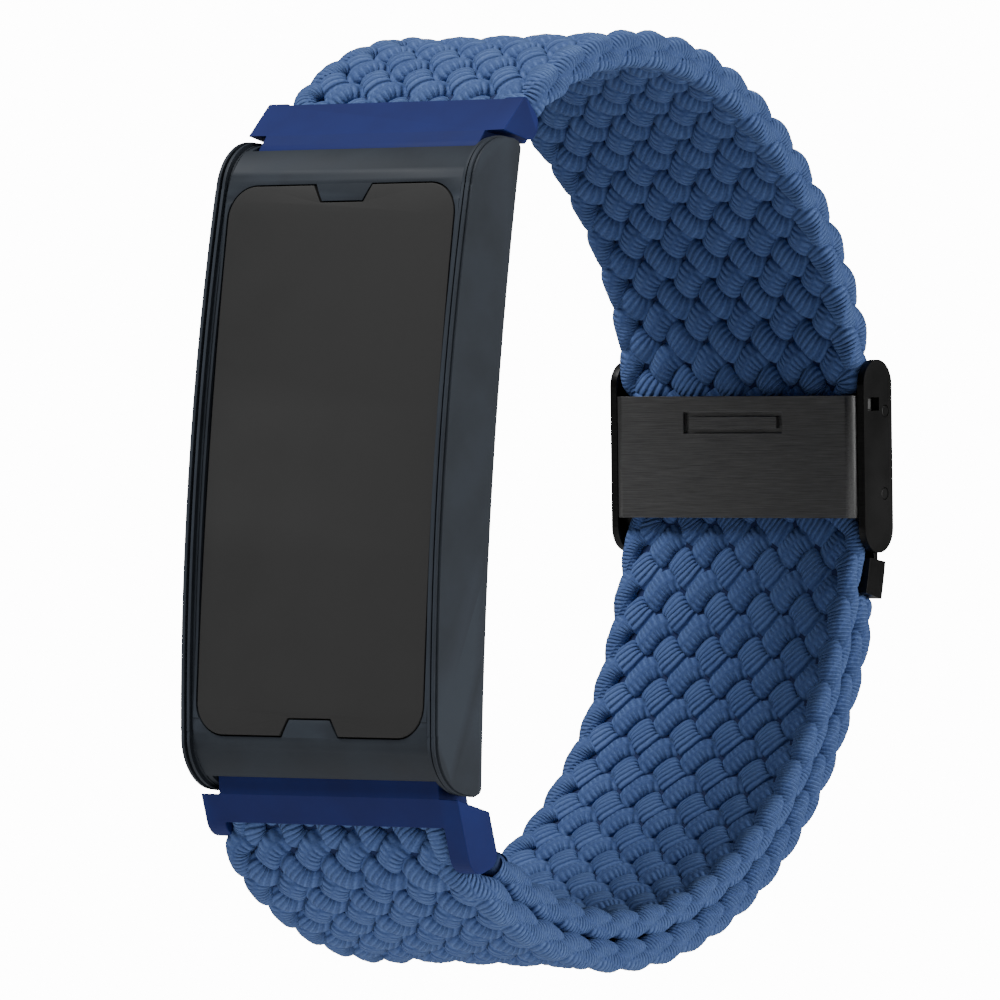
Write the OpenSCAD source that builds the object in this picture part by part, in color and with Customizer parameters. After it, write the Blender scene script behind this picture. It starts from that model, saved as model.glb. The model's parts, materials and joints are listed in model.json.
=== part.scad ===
// Fitness tracker band: a tracker on a closed loop of flat braided strap.
// A fold-over buckle at the back of the wrist grips the upper strap, whose tail
// runs on inside the lower strap.
//
// Frame, in millimetres. X runs across the band, along the wrist. Y runs from the
// display (negative) to the buckle (positive). Z is up along the display. The
// origin is the middle of the wrist opening, level with the middle of the display.

/* [Tracker] */
// Width over the two side rails
body_w = 22.8; // [22.4:0.1:23.2]
// Length of the tracker, end to end
body_l = 46.8; // [46.4:0.1:47.2]
// Thickness at mid-length
body_t = 5.9; // [5.8:0.1:6.4]
// How far the middle of the display sits in front of the wrist's centre
display_y = 28; // [27.8:0.1:28.2]
// How far the rails stand proud of the display at mid-length
rail_proud = 0.7; // [0.4:0.1:0.9]
// Display cover width
display_w = 20; // [19.6:0.1:20]
// Display cover length
display_l = 39.3; // [38.8:0.1:39.6]
// Display cover corner radius
display_r = 2.3; // [1.5:0.1:3]

/* [Strap] */
// Full width of the braid
strap_w = 21.6; // [20.8:0.2:21.6]
// Width of the braid where a connector or the buckle squeezes it
strap_waist_w = 19.2; // [18.4:0.2:19.2]
// Thickness of the single strap
strap_t = 2.6; // [2.2:0.1:2.7]
// Thickness of the tail inside the lower strap
tail_t = 1.9; // [1.6:0.1:1.9]
// Thickness of the lower strap
lower_t = 2.1; // [1.8:0.1:2.1]

/* [Buckle] */
// Height of the inner plate
plate_h = 9.2; // [8.8:0.1:9.6]
// Width of the inner plate
plate_w = 21.8; // [21.4:0.1:21.8]
// Sheet thickness
sheet_t = 0.6; // [0.5:0.05:0.6]
// Length of the cover's cheeks
cheek_l = 14.5; // [13.5:0.1:14.5]

/* [Look] */
// Roundness of drawn curves
detail = 96; // [48:8:128]

/* [Hidden] */
$fn = detail;
eps = 0.01;

// Tracker surfaces, each bowed about an axis on the wrist's side
rail_bow_r = 180;
display_bow_r = 320;
back_bow_r = 280;
rail_front_y = -display_y - rail_proud;
back_y = rail_front_y + body_t;
half_l = body_l / 2;
lug_t = 1.5;
lug_gap = body_w - 2 * lug_t;
rail_corner_r = 3.85;
rail_back_r = 0.8;
mid_w = body_w - 2.1;
mid_corner_r = 5.2;
mid_half_l = half_l - 0.9;
cover_t = 0.8;
panel_t = 0.7;
back_t = 0.9;
part_gap = 0.12;

// Notches in the display cover, and the tabs of the case that fill them
notch_w = 5.2;
notch_inner_w = 3.8;
notch_d = 1.25;

// Cavities, as width, length and corner radius
well_w = 18.4;
well_l = 36;
well_r = 1.6;
back_w = 18.8;
back_l = 38.4;
back_r = 2;
screw_x = 7.9;
screw_z = 17.4;
panel_w = 17.6;
panel_l = 32.2;
panel_r = 1.2;

// Spring bars: axis, tube, tips and release knob
hinge_y = -display_y + 4.3;
hinge_z = half_l - 1.2;
barrel_r = 1.2;
bar_r = 0.75;
bar_bore_r = 0.8;
tube_bore_r = 0.5;
shaft_r = 0.42;
tip_r = 0.45;
tip_bore_r = 0.5;
tip_reach = 10.9;
bar_half = 9.6;
release_travel = 1.2;
knob_x = 7.6;
knob_r = 0.28;
knob_reach = 2.9;

// Connectors, drawn along s (down the strap) and n (outwards) from the spring bar
top_angle = 50;
bottom_angle = 66;
shoulder_w = lug_gap - 0.3;
wall_t = 0.5;
wall_reach = 4.3;
// The bottom connector's wall ends sooner, and more of the strap shows
bottom_wall_reach = 3.2;
pocket_s = 1.7;
pocket_w = strap_waist_w + 0.2;
pocket_t = 2.3;
strap_end_t = 2.1;
// The left cheek is cut short, just past the wall
short_cheek = 0.4;
long_cheek = 2.7;
top_wall_n = 1.3;
bottom_wall_n = 1.5;
cheek_back_r = 1.1;
corner_step = 10;

// Buckle frame: v runs outwards and u up the inner plate, from the middle of the
// plate's wrist face. The buckle leans towards the tracker.
buckle_y = 23.38;
buckle_z = 5.58;
buckle_lean = 7.3;
cheek_gap = 0.1;
cheek_t = 0.6;
cheek_r = 1.9;
cheek_v = 2.4;
cover_v = cheek_v + cheek_r - 0.45;
cover_low_u = -1.7;
lower_pin = [3.19, -2.81];
upper_pin = [3.38, 3.37];
pin_r = 0.45;
pin_press_r = 0.47;
pin_bore_r = 0.5;
band_v = sheet_t + 0.08 + tail_t / 2;
waist_reach = plate_h / 2 + 3.9;

// Upper strap's middle line, from the buckle up and over to the top connector, as
// arcs of radius and sweep
upper_start_u = 5.2;
upper_arcs = [[16, 23], [31.5, 39], [27, 38.5], [19.5, 29.8]];

// Outer face of the lower strap, from the end clamp down and round to the bottom
// connector. The tail lies on the same centres, further in.
lower_start = [28.533, -1.7595, -92.45];
lower_arcs = [[35, 40.55], [32.5, 44.5], [30, 33.5], [8, 34.5]];
layer_gap = 0.2;
tail_inset = lower_t + layer_gap + tail_t / 2;
tail_start_u = -5;
tail_bend_r = 6;
tail_last_sweep = 28;
tip_sweep = 5;
clamp_sweep = 4.7;
run_step = 2.5;
// Parts of a strap overlap by this length or sweep, the narrow ones a little thinner
overlap = 0.3;
lap_sweep = 2;
squeeze = 0.05;
clamp_wall = 0.38;
tongue_w = 14;
tongue_low = 8;
tongue_v = [2.85, 3.35];
// The tongue's foot is as wide as the band, below the plate's flanges
tongue_foot_w = plate_w - 0.2;
tongue_foot_top = plate_h / 2 + 0.3;

// ---------- helpers ----------

// Extrudes a drawing made in (Y, Z) along X, from x0 to x1
module along_x(x0, x1) {
  translate([x0, 0, 0])
    rotate([90, 0, 90])
      linear_extrude(x1 - x0)
        children();
}

// Extrudes a drawing made in (X, Z) along Y, from y0 to y1
module along_y(y0, y1) {
  translate([0, y1, 0])
    rotate([90, 0, 0])
      linear_extrude(y1 - y0)
        children();
}

// A flat drawing with rounded corners
module round_rect(w, h, r) {
  square([w - 2 * r, h], center = true);
  square([w, h - 2 * r], center = true);
  for (x = [-1, 1], z = [-1, 1])
    translate([x * (w / 2 - r), z * (h / 2 - r)])
      circle(r);
}

// What a corner of radius r loses, for a corner at the origin that points to (+, +)
module corner_waste(r) {
  difference() {
    translate([-r, -r])
      square(r + 1);
    translate([-r, -r])
      circle(r);
  }
}

// Slab between two bowed faces whose crests are at y0 and y1, in (Y, Z)
module bowed_slab(y0, r0, y1, r1, half) {
  difference() {
    intersection() {
      translate([y0 + r0, 0])
        circle(r0, $fn = 4 * detail);
      translate([y0 - 1, -half])
        square([12, 2 * half]);
    }
    translate([y1 + r1, 0])
      circle(r1, $fn = 4 * detail);
  }
}

// Both ends of something drawn for the top end
module both_ends() {
  for (z = [0, 1])
    mirror([0, 0, z])
      children();
}

// Both ends of a flat drawing
module both_flat_ends() {
  for (z = [0, 1])
    mirror([0, z])
      children();
}

// ---------- tracker ----------

// Side view of a rail, in (Y, Z), shrunk by an inset
module rail_profile(inset) {
  difference() {
    bowed_slab(rail_front_y + inset, rail_bow_r, back_y, back_bow_r, half_l - inset / 2);
    both_flat_ends() {
      difference() {
        translate([rail_front_y - 1, half_l - inset / 2 - rail_corner_r])
          square([rail_corner_r + 2.15 + inset, rail_corner_r + 1]);
        translate([hinge_y - 0.05 + inset, half_l - inset / 2 - rail_corner_r])
          circle(rail_corner_r);
        translate([hinge_y - 0.05 + inset, 0])
          square([rail_corner_r, half_l - inset / 2]);
      }
      translate([back_y + pow(half_l, 2) / (2 * back_bow_r), half_l - inset / 2])
        corner_waste(rail_back_r);
    }
  }
}

// Side view of the body between the rails, in (Y, Z)
module mid_profile() {
  corner_y = -display_y + 5.8;
  corner_z = mid_half_l - 4;
  difference() {
    bowed_slab(-display_y, display_bow_r, back_y, back_bow_r, mid_half_l);
    both_flat_ends() {
      difference() {
        translate([-display_y - 1, corner_z])
          square([6.8, 5]);
        translate([corner_y, corner_z])
          circle(mid_corner_r);
      }
      // Room for the connector's barrel behind the lip
      translate([hinge_y, hinge_z])
        circle(barrel_r + 0.15);
      translate([hinge_y, hinge_z - barrel_r - 0.15])
        square([8, 4]);
    }
  }
}

// The display cover's outline in (X, Z), grown by a margin
module display_outline(grow) {
  difference() {
    round_rect(display_w + 2 * grow, display_l + 2 * grow, display_r + grow);
    both_flat_ends()
      translate([0, display_l / 2 + grow])
        polygon([
          [-notch_w / 2 + grow, eps],
          [-notch_inner_w / 2 + grow, -notch_d],
          [notch_inner_w / 2 - grow, -notch_d],
          [notch_w / 2 - grow, eps]
        ]);
  }
}

module case_shell() {
  outer_x = body_w / 2;
  groove_x = [mid_w / 2, mid_w / 2 + 0.18, mid_w / 2 + 0.42, mid_w / 2 + 0.6];
  color("#3A3F45")
    difference() {
      union() {
        along_x(-mid_w / 2, mid_w / 2)
          mid_profile();
        for (side = [0, 1])
          mirror([side, 0, 0]) {
            along_x(lug_gap / 2, groove_x[0])
              rail_profile(0.5);
            along_x(groove_x[0], groove_x[1])
              rail_profile(0.42);
            along_x(groove_x[1], groove_x[2])
              rail_profile(0.1);
            along_x(groove_x[2], groove_x[3])
              rail_profile(0.42);
            along_x(groove_x[3], outer_x - 0.2)
              rail_profile(0);
            along_x(outer_x - 0.2, outer_x)
              rail_profile(0.2);
          }
      }
      // Seat for the display cover
      intersection() {
        along_y(-display_y - 1, -display_y + 3)
          display_outline(part_gap);
        along_x(-display_w, display_w)
          translate([-display_y + display_bow_r, 0])
            difference() {
              circle(display_bow_r + 1, $fn = 4 * detail);
              circle(display_bow_r - cover_t - 0.2, $fn = 4 * detail);
            }
      }
      // Well for the electronics, clear of the screw bosses
      difference() {
        along_y(-display_y + 0.2, back_y - back_t + 0.8)
          round_rect(well_w, well_l, well_r);
        screw_places()
          along_y(-display_y, back_y + 2)
            circle(1.15);
      }
      // Seat for the back cover
      intersection() {
        along_y(back_y - 3, back_y + 3)
          round_rect(back_w + 2 * part_gap, back_l + 2 * part_gap, back_r);
        along_x(-display_w, display_w)
          translate([back_y - back_t - 0.15 + back_bow_r, 0])
            circle(back_bow_r, $fn = 4 * detail);
      }
      // Threaded holes for the case screws
      screw_places()
        along_y(back_y - 3.2, back_y + 2)
          circle(0.4);
      // Blind holes for the tips of the spring bars
      both_ends()
        translate([-tip_reach - 0.1, hinge_y, hinge_z])
          rotate([0, 90, 0])
            cylinder(r = tip_bore_r, h = 2 * tip_reach + 0.2);
    }
}

module screw_places() {
  for (x = [-1, 1], z = [-1, 1])
    translate([x * screw_x, 0, z * screw_z])
      children();
}

module display_cover() {
  color("#363636")
    intersection() {
      along_y(-display_y - 1, -display_y + 3)
        display_outline(0);
      along_x(-display_w, display_w)
        bowed_slab(-display_y, display_bow_r, -display_y + cover_t,
          display_bow_r - cover_t, half_l);
    }
}

module display_seal() {
  seal_y = -display_y + cover_t + 0.02;
  color("#111111")
    intersection() {
      along_y(-display_y, -display_y + 3)
        difference() {
          round_rect(display_w - 0.4, well_l + 0.6, display_r);
          round_rect(well_w - 0.2, well_l - 0.2, well_r);
        }
      along_x(-display_w, display_w)
        bowed_slab(seal_y, display_bow_r - cover_t, seal_y + 0.15,
          display_bow_r - cover_t - 0.15, half_l);
    }
}

module display_panel() {
  panel_y = -display_y + cover_t + 0.03;
  color("#1A1C22")
    intersection() {
      along_y(-display_y, -display_y + 4)
        round_rect(panel_w, panel_l, panel_r);
      along_x(-display_w, display_w)
        bowed_slab(panel_y, display_bow_r - cover_t, panel_y + panel_t,
          display_bow_r - cover_t - panel_t, half_l);
    }
}

board_y = back_y - back_t - 1.15;

module main_board() {
  color("#1F5B3A")
    difference() {
      along_y(board_y, board_y + 0.5)
        polygon([[-8.7, 1], [8.7, 1], [8.7, 9.6], [0.8, 9.6], [0.8, 15.9], [-8.7, 15.9]]);
      for (x = [-7.6, 7.6])
        translate([x, board_y - 1, 2.1])
          rotate([-90, 0, 0])
            cylinder(r = 0.5, h = 3);
    }
}

module board_shield() {
  color("#B8BBC0")
    translate([0, board_y - 0.95, 0])
      difference() {
        translate([-6.5, 0, 1.8])
          cube([12, 0.93, 7]);
        translate([-6.3, 0.15, 2])
          cube([11.6, 1, 6.6]);
      }
}

module processor() {
  color("#222222")
    translate([-4, board_y - 0.62, 2.8])
      cube([5, 0.6, 5]);
}

module battery() {
  battery_y = -display_y + 2.2;
  color("#8D9299")
    along_y(battery_y, battery_y + 1.9)
      translate([0, -7.9])
        round_rect(16.8, 15.6, 0.9);
}

module vibration_motor() {
  color("#C9CCD1")
    translate([4.9, board_y - 1, 13.2])
      rotate([-90, 0, 0])
        difference() {
          cylinder(r = 3.4, h = 1.9);
          translate([0, 0, -1])
            cylinder(r = 0.6, h = 1.4);
        }
}

module back_cover() {
  window_r = 4.6;
  color("#2B2F36")
    difference() {
      intersection() {
        along_y(back_y - 3, back_y + 3)
          round_rect(back_w, back_l, back_r);
        along_x(-display_w, display_w)
          bowed_slab(back_y - back_t, back_bow_r, back_y, back_bow_r - back_t, half_l);
      }
      translate([0, back_y - 3, 0])
        rotate([-90, 0, 0])
          cylinder(r = window_r, h = 6);
      for (x = [-3, 3])
        translate([x, back_y - 3, -12])
          rotate([-90, 0, 0])
            cylinder(r = 1.05, h = 6);
      screw_places()
        translate([0, back_y - 3, 0])
          rotate([-90, 0, 0])
            cylinder(r = 0.45, h = 6);
      screw_places()
        translate([0, back_y + 0.1, 0])
          rotate([-90, 0, 0])
            cylinder(r = 0.85, h = 3);
    }
}

module back_seal() {
  seal_y = back_y - back_t - 0.14;
  color("#111111")
    intersection() {
      along_y(back_y - 3, back_y + 3)
        difference() {
          round_rect(back_w - 0.05, back_l - 0.1, back_r);
          round_rect(well_w + 0.04, well_l + 0.2, well_r);
        }
      along_x(-display_w, display_w)
        bowed_slab(seal_y, back_bow_r, seal_y + 0.12, back_bow_r - 0.12, half_l);
    }
}

module sensor_window() {
  dome_r = 30;
  color("#101010")
    intersection() {
      translate([0, back_y - 0.25, 0])
        rotate([-90, 0, 0])
          cylinder(r = 4.5, h = 3);
      translate([0, back_y + 0.6 - dome_r, 0])
        rotate([-90, 0, 0])
          translate([0, 0, dome_r - 4])
            rotate_extrude()
              intersection() {
                translate([0, 4 - dome_r])
                  circle(dome_r, $fn = 4 * detail);
                square([5, 5]);
              }
    }
}

module sensor_board() {
  color("#1F5B3A")
    translate([0, back_y - 0.95, 0])
      rotate([-90, 0, 0])
        cylinder(r = 4.4, h = 0.25);
}

module sensor_leds() {
  color("#6BC46D")
    for (x = [-2.4, 0, 2.4])
      translate([x - 0.6, back_y - 0.68, -0.8])
        cube([1.2, 0.4, 1.6]);
}

module charging_contacts() {
  color("#D9B56A")
    for (x = [-3, 3])
      translate([x, back_y - 0.8, -12])
        rotate([-90, 0, 0])
          cylinder(r = 1, h = 1.08);
}

module case_screws() {
  color("#8C8F94")
    screw_places()
      translate([0, back_y + 0.12, 0])
        rotate([-90, 0, 0])
          difference() {
            union() {
              cylinder(r = 0.8, h = 0.35);
              translate([0, 0, -2.6])
                cylinder(r = 0.38, h = 2.7);
            }
            translate([-1, -0.12, 0.2])
              cube([2, 0.24, 1]);
          }
}

// ---------- arcs and chains of arcs ----------

// A chain state is [y, z, heading]. turn is 1 to the left and -1 to the right.
function arc_centre(at, arc, turn) = [
  at[0] - turn * arc[0] * sin(at[2]),
  at[1] + turn * arc[0] * cos(at[2])
];
function arc_end(at, arc, turn) =
  let (c = arc_centre(at, arc, turn), h = at[2] + turn * arc[1])
  [c[0] + turn * arc[0] * sin(h), c[1] - turn * arc[0] * cos(h), h];
function chain_at(start, arcs, turn, i) =
  i == 0 ? start : arc_end(chain_at(start, arcs, turn, i - 1), arcs[i - 1], turn);

// Part of a ring, in a flat drawing, between two angles less than 160 degrees apart
module ring_sector(centre, r_in, r_out, from, to) {
  far = 3 * r_out;
  mid = (from + to) / 2;
  translate(centre)
    intersection() {
      difference() {
        circle(r_out, $fn = 2 * detail);
        circle(r_in, $fn = 2 * detail);
      }
      polygon([
        [0, 0], far * [cos(from), sin(from)], far * [cos(mid), sin(mid)],
        far * [cos(to), sin(to)]
      ]);
    }
}

// Band of one arc of a chain, from inset_out to inset_in inside the arc's own line
module arc_band(at, arc, turn, inset_out, inset_in) {
  side = at[2] - turn * 90;
  end = side + turn * arc[1];
  ring_sector(arc_centre(at, arc, turn), arc[0] - inset_in, arc[0] - inset_out,
    min(side, end), max(side, end));
}

// Points along one side of a run of arcs, at an inset towards their centres
function run_side(start, arcs, turn, inset) = [
  for (k = [0:len(arcs) - 1])
    let (
      at = chain_at(start, arcs, turn, k),
      centre = arc_centre(at, arcs[k], turn),
      steps = ceil(arcs[k][1] / run_step),
      r = arcs[k][0] - inset
    )
    for (i = [k == 0 ? 0 : 1:steps])
      let (a = at[2] + turn * (arcs[k][1] * i / steps - 90))
      [centre[0] + r * cos(a), centre[1] + r * sin(a)]
];
function reversed(list) = [for (i = [len(list) - 1:-1:0]) list[i]];

// The whole run as one band between two insets, in a flat drawing
module arc_run(start, arcs, turn, inset_out, inset_in) {
  polygon(concat(
    run_side(start, arcs, turn, inset_out),
    reversed(run_side(start, arcs, turn, inset_in))
  ));
}

module at_hinge(angle) {
  translate([hinge_y, hinge_z])
    rotate(angle)
      children();
}

// Side view of a connector's cheek, in (s, n), with both end corners rounded
module cheek(wall_n, reach, back_n, end_r) {
  polygon(concat(
    [[1, wall_n]],
    [for (a = [90:-corner_step:0])
      [reach - end_r, wall_n - end_r] + end_r * [cos(a), sin(a)]],
    [for (a = [0:-corner_step:-90])
      [reach - cheek_back_r, back_n + cheek_back_r] + cheek_back_r * [cos(a), sin(a)]],
    [[3.1, back_n], [2.6, -1.1]]
  ));
}

// wall_n: the front wall's height over the spring bar; wall_s: where it ends on the
// strap; reach: how far the cheeks run down the strap; back_n: how deep they are;
// end_r: how round their front corner is
module connector(angle, wall_n, wall_s, reach, back_n, end_r) {
  shelf_n = wall_n - 2 * wall_t - pocket_t;
  cheek_w = (body_w - pocket_w) / 2;
  difference() {
    union() {
      along_x(-shoulder_w / 2, shoulder_w / 2)
        at_hinge(angle) {
          circle(barrel_r);
          polygon([
            [-0.25, barrel_r - 0.03], [1, wall_n], [wall_s, wall_n],
            [wall_s, shelf_n], [2.2, shelf_n], [0, -barrel_r]
          ]);
        }
      along_x(-pocket_w / 2 - cheek_w / 2, pocket_w / 2 + cheek_w / 2)
        at_hinge(angle)
          polygon([
            [1, wall_n], [wall_s, wall_n], [wall_s, shelf_n], [3.1, shelf_n],
            [2.6, -1.1]
          ]);
      for (side = [0, 1])
        mirror([side, 0, 0])
          along_x(pocket_w / 2, body_w / 2)
            at_hinge(angle)
              cheek(wall_n, side == 0 ? reach : min(reach, wall_reach + short_cheek),
                back_n, end_r);
    }
    // Bore for the spring bar
    translate([-body_w, hinge_y, hinge_z])
      rotate([0, 90, 0])
        cylinder(r = bar_bore_r, h = 2 * body_w);
    // Pocket for the strap's end
    along_x(-pocket_w / 2, pocket_w / 2)
      at_hinge(angle)
        translate([pocket_s, wall_n - wall_t - pocket_t])
          square([9, pocket_t]);
    // Slot for the release knob and its head, on the wrist's side
    along_x(knob_x - release_travel - 1, knob_x + 0.5)
      translate([hinge_y, hinge_z - knob_r - 0.12])
        square([4, 2 * knob_r + 0.24]);
    along_x(knob_x - release_travel - 0.7, knob_x + 0.7)
      translate([hinge_y + knob_reach - 0.6, hinge_z - 0.7])
        square([4, 1.4]);
  }
}

module top_connector() {
  color("#2B3D6E")
    connector(top_angle, top_wall_n, wall_reach, wall_reach + short_cheek, -1.6, 0.4);
}

module bottom_connector() {
  color("#1B2A5E")
    mirror([0, 0, 1])
      connector(bottom_angle, bottom_wall_n, bottom_wall_reach,
        wall_reach + long_cheek, -1.9, 1.5);
}

// Tube and fixed tip of a spring bar, drawn for the top
module spring_bar() {
  translate([0, hinge_y, hinge_z])
    difference() {
      rotate([0, 90, 0]) {
        translate([0, 0, -bar_half])
          cylinder(r = bar_r, h = 2 * bar_half);
        translate([0, 0, -tip_reach])
          cylinder(r = tip_r, h = 2);
      }
      translate([-3, 0, 0])
        rotate([0, 90, 0])
          cylinder(r = tube_bore_r, h = 20);
      // Slot for the release knob
      translate([knob_x - release_travel - knob_r - 0.1, 0, -knob_r - 0.06])
        cube([release_travel + 2 * knob_r + 0.2, 2, 2 * knob_r + 0.12]);
    }
}

// Sprung tip of a spring bar with its release knob, drawn for the top
module release_pin() {
  translate([0, hinge_y, hinge_z]) {
    rotate([0, 90, 0]) {
      translate([0, 0, 1.5])
        cylinder(r = shaft_r, h = 8);
      translate([0, 0, 8.9])
        cylinder(r = tip_r, h = tip_reach - 8.9);
    }
    translate([knob_x, 0, 0])
      rotate([-90, 0, 0]) {
        cylinder(r = knob_r, h = knob_reach - 0.3);
        translate([0, 0, knob_reach - 0.4])
          cylinder(r = 2 * knob_r, h = 0.4);
      }
  }
}

// Coil of round wire along X, drawn for the top
module bar_spring() {
  coil_r = 0.34;
  wire_r = 0.07;
  turns = 9;
  steps = 10;
  sides = 6;
  x0 = -2.85;
  x1 = 1.4;
  rings = turns * steps;
  points = [
    for (i = [0:rings], j = [0:sides - 1])
      let (a = 360 * i / steps, b = 360 * j / sides, r = coil_r + wire_r * cos(b))
      [x0 + (x1 - x0) * i / rings + wire_r * sin(b), r * cos(a), r * sin(a)]
  ];
  walls = [
    for (i = [0:rings - 1], j = [0:sides - 1])
      let (k = (j + 1) % sides, a = i * sides, b = a + sides)
      each [[a + j, b + k, a + k], [a + j, b + j, b + k]]
  ];
  caps = [
    [for (j = [0:sides - 1]) j],
    [for (j = [sides - 1:-1:0]) rings * sides + j]
  ];
  translate([0, hinge_y, hinge_z])
    polyhedron(points, concat(walls, caps));
}

module top_spring_bar() {
  color("#B9BCC1")
    spring_bar();
}

module bottom_spring_bar() {
  color("#B9BCC1")
    mirror([0, 0, 1])
      spring_bar();
}

module top_release_pin() {
  color("#C9CCD1")
    release_pin();
}

module bottom_release_pin() {
  color("#C9CCD1")
    mirror([0, 0, 1])
      release_pin();
}

module top_bar_spring() {
  color("#9CA0A6")
    bar_spring();
}

module bottom_bar_spring() {
  color("#9CA0A6")
    mirror([0, 0, 1])
      bar_spring();
}

// ---------- straps ----------

// Places a drawing made in (v, u) on the buckle
module at_buckle() {
  translate([buckle_y, buckle_z])
    rotate(buckle_lean)
      children();
}

function buckle_point(v, u) = [
  buckle_y + v * cos(buckle_lean) - u * sin(buckle_lean),
  buckle_z + v * sin(buckle_lean) + u * cos(buckle_lean)
];

// Strap end inside a connector's pocket, in (s, n)
module strap_end(wall_n) {
  translate([pocket_s + 0.05, wall_n - wall_t - 0.05 - strap_end_t])
    square([wall_reach - pocket_s + 1.2, strap_end_t]);
}

upper_start = concat(buckle_point(band_v, upper_start_u), 90 + buckle_lean);
loop_centre = arc_centre(lower_start, lower_arcs[0], -1);
tail_from = concat(buckle_point(band_v, tail_start_u), buckle_lean - 90);
bend_centre = arc_centre(tail_from, [tail_bend_r, 0], -1);
// The tail leaves its bend on the line that also touches its first long arc
tail_r = lower_arcs[0][0] - tail_inset;
centres_apart = bend_centre - loop_centre;
tail_heading = atan2(centres_apart[1], centres_apart[0]) - 90
  - acos((tail_r - tail_bend_r) / norm(centres_apart));
tail_on_loop = [
  loop_centre[0] - tail_r * sin(tail_heading),
  loop_centre[1] + tail_r * cos(tail_heading),
  tail_heading
];
loop_turn = tail_heading - (lower_start[2] - lower_arcs[0][1]);

tail_arcs = [
  [tail_r, loop_turn],
  [lower_arcs[1][0] - tail_inset, lower_arcs[1][1]],
  [lower_arcs[2][0] - tail_inset, tail_last_sweep]
];
last_upper = len(upper_arcs) - 1;
last_lower = len(lower_arcs) - 1;

// One side of the tail from the buckle down to the start of its long arcs
function tail_side(inset) = concat(
  [buckle_point(band_v - inset, upper_start_u + overlap)],
  run_side(tail_from, [[tail_bend_r, tail_from[2] - tail_heading]], -1, inset),
  run_side(tail_on_loop, [[tail_r, lap_sweep]], -1, inset)
);

// The end of a run of arcs, from a lap on the arc before the last
module last_arc(start, arcs, turn, inset_out, inset_in) {
  last = len(arcs) - 1;
  before = arcs[last - 1];
  lap_at = arc_end(chain_at(start, arcs, turn, last - 1),
    [before[0], before[1] - lap_sweep], turn);
  arc_run(lap_at, [[before[0], lap_sweep], arcs[last]], turn, inset_out, inset_in);
}

module upper_strap() {
  half_t = strap_t / 2;
  half_tail = tail_t / 2;
  color("#3C5F96") {
    along_x(-strap_w / 2, strap_w / 2) {
      arc_run(upper_start, [for (i = [0:last_upper - 1]) upper_arcs[i]], 1,
        -half_t, half_t);
      arc_run(tail_on_loop, tail_arcs, -1, -half_tail, half_tail);
    }
    // Narrower where the connector and the buckle squeeze it
    along_x(-strap_waist_w / 2, strap_waist_w / 2) {
      last_arc(upper_start, upper_arcs, 1, -strap_end_t / 2, strap_end_t / 2);
      at_hinge(top_angle)
        strap_end(top_wall_n);
      polygon(concat(tail_side(squeeze - half_tail), reversed(tail_side(half_tail - squeeze))));
    }
  }
}

module tail_tip() {
  at = chain_at(lower_start, lower_arcs, -1, 2);
  from = arc_end(at, [lower_arcs[2][0], tail_last_sweep], -1);
  color("#22252A")
    along_x(-strap_w / 2, strap_w / 2)
      arc_band(from, [lower_arcs[2][0], tip_sweep], -1,
        tail_inset - tail_t / 2, tail_inset + tail_t / 2);
}

// Lower strap's band over part of its first arc, between two insets
module first_arc(from, sweep, inset_out, inset_in) {
  arc_band(arc_end(lower_start, [lower_arcs[0][0], from], -1),
    [lower_arcs[0][0], sweep], -1, inset_out, inset_in);
}

module lower_strap() {
  grip = clamp_wall + 0.02;
  from = clamp_sweep + 0.1;
  first = [lower_arcs[0][0], lower_arcs[0][1] - from];
  color("#3C5F96") {
    along_x(-strap_w / 2, strap_w / 2)
      arc_run(arc_end(lower_start, [first[0], from], -1),
        concat([first], [for (i = [1:last_lower - 1]) lower_arcs[i]]), -1, 0, lower_t);
    // Narrower in the end clamp and between the connector's cheeks
    along_x(-strap_waist_w / 2, strap_waist_w / 2) {
      first_arc(0.8, clamp_sweep, grip, lower_t - grip);
      last_arc(lower_start, lower_arcs, -1, 2 * squeeze, lower_t - 2 * squeeze);
      mirror([0, 1])
        at_hinge(bottom_angle)
          strap_end(bottom_wall_n);
    }
  }
}

// ---------- buckle ----------

module end_clamp() {
  color("#1E1E1E")
    difference() {
      union() {
        along_x(-plate_w / 2, plate_w / 2)
          first_arc(0, clamp_sweep, -0.08, lower_t - 0.02);
        // Tongue that reaches up to the hinge pin and hooks under it
        along_x(-tongue_w / 2, tongue_w / 2)
          at_buckle() {
            translate([tongue_v[0], -tongue_low])
              square([tongue_v[1] - tongue_v[0], tongue_low + lower_pin[1] - pin_bore_r - 0.1]);
            ring_sector(lower_pin, pin_bore_r + 0.03, 1, -115, 15);
          }
        along_x(-tongue_foot_w / 2, tongue_foot_w / 2)
          at_buckle()
            translate([tongue_v[0], -tongue_low])
              square([tongue_v[1] - tongue_v[0], tongue_low - tongue_foot_top]);
      }
      along_x(-strap_waist_w / 2 - 0.05, strap_waist_w / 2 + 0.05)
        first_arc(0.7, clamp_sweep, clamp_wall, lower_t - clamp_wall);
      // Keeps the hook clear of the pin
      along_x(-plate_w, plate_w)
        at_buckle()
          translate(lower_pin)
            circle(pin_bore_r + 0.03);
    }
}

// A hole across the buckle, at a point in (v, u)
module cross_hole(at, r) {
  p = buckle_point(at[0], at[1]);
  translate([-body_w, p[0], p[1]])
    rotate([0, 90, 0])
      cylinder(r = r, h = 2 * body_w);
}

// Round bar across the buckle, at a point in (v, u)
module cross_pin(at, half) {
  p = buckle_point(at[0], at[1]);
  translate([-half, p[0], p[1]])
    rotate([0, 90, 0])
      cylinder(r = pin_r, h = 2 * half);
}

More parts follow.
